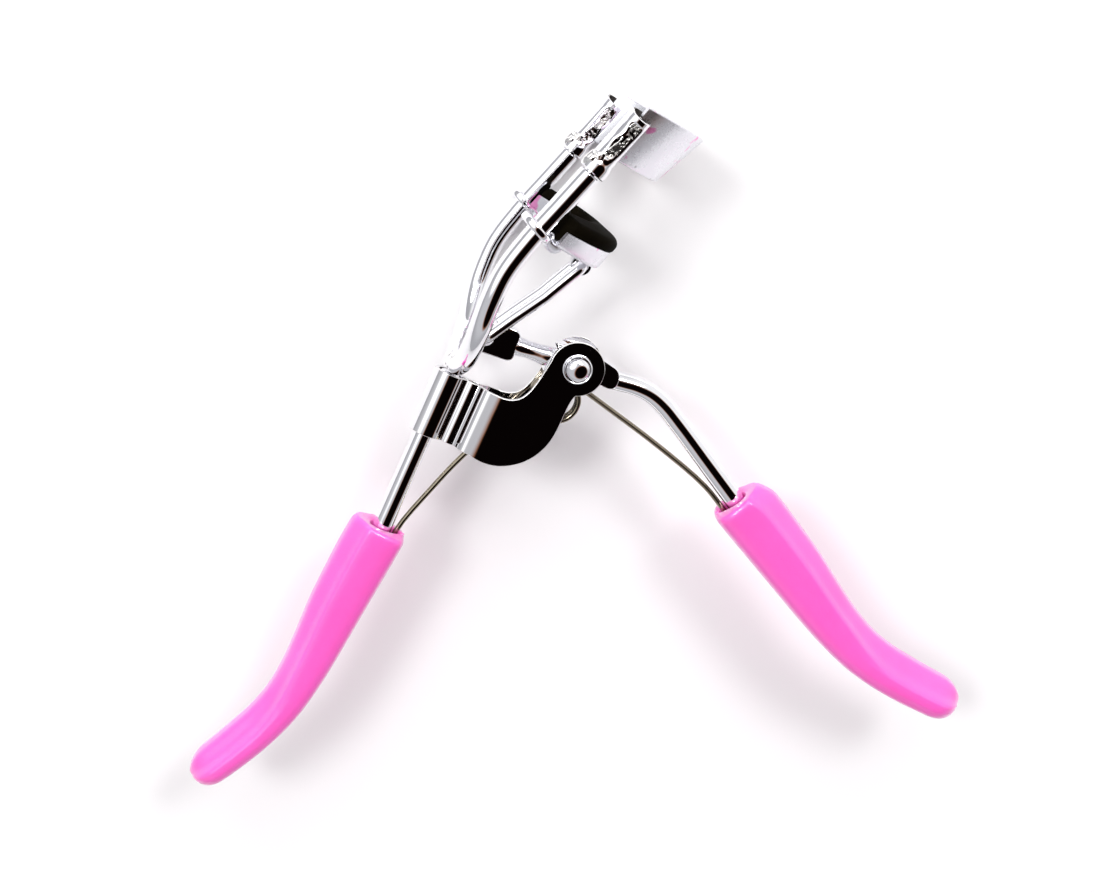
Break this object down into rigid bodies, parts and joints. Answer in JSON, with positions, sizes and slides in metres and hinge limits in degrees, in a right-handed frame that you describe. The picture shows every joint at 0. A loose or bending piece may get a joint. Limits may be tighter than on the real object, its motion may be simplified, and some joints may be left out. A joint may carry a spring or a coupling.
{
  "type": "eyelash curler",
  "caption": "Hand-held lever tool with a wire fork frame, curved clamping jaws with a rubber pad, a pivot bracket, a coil spring and soft finger grips.",
  "frame": {"origin": "middle of the bottom of the tool's bounding box, the tool lying on its side and open", "axes": "+Y up the straight guide prongs, the way the lower jaw travels; +X the side the jaws bulge to and the moving handle opens to; +Z along the lever's pivot rivet"},
  "size_m": [0.0998, 0.1178, 0.036],
  "materials": {
    "bright_chrome": "mirror-bright plated wire",
    "bracket_chrome": "mirror-bright plated sheet",
    "jaw_chrome": "satin-bright plated sheet",
    "spring_steel": "bright drawn wire",
    "pink_grip": "semi-gloss soft vinyl",
    "black_rubber": "smooth glossy rubber"
  },
  "bodies": {
    "frame": {"stem_rod": "bright_chrome", "prong_front": "bright_chrome", "prong_back": "bright_chrome", "upper_jaw_plate": "jaw_chrome", "pivot_bracket": "bracket_chrome", "pivot_rivet": "bright_chrome", "torsion_spring": "spring_steel", "fixed_grip": "pink_grip"},
    "moving_handle": {"lever_arm": "bright_chrome", "moving_grip": "pink_grip"},
    "lower_jaw": {"pad_holder": "jaw_chrome", "rubber_pad": "black_rubber"},
    "push_yoke": {"push_yoke": "bright_chrome"}
  },
  "joints": [
    {"name": "handle_pivot", "type": "hinge", "parent": "frame", "child": "moving_handle", "pos_m": [-0.02847, 0.02418, 0.018], "axis": [0, 0, -1], "range_deg": [0, 39.3], "stiffness_Nm_per_rad": 0.15, "springref_deg": -20.05, "deforming": ["torsion_spring"]},
    {"name": "jaw_slide", "type": "slide", "parent": "frame", "child": "lower_jaw", "axis": [0, 1, 0], "range_m": [0, 0.009]},
    {"name": "yoke_swing", "type": "hinge", "parent": "lower_jaw", "child": "push_yoke", "pos_m": [-0.03777, 0.03518, 0.018], "axis": [0, 0, -1], "range_deg": [0, 3.8]}
  ],
  "couplings": [
    {"joint": "jaw_slide", "follows": "handle_pivot", "m_per_rad": 0.01312},
    {"joint": "yoke_swing", "follows": "handle_pivot", "ratio": 0.096}
  ]
}
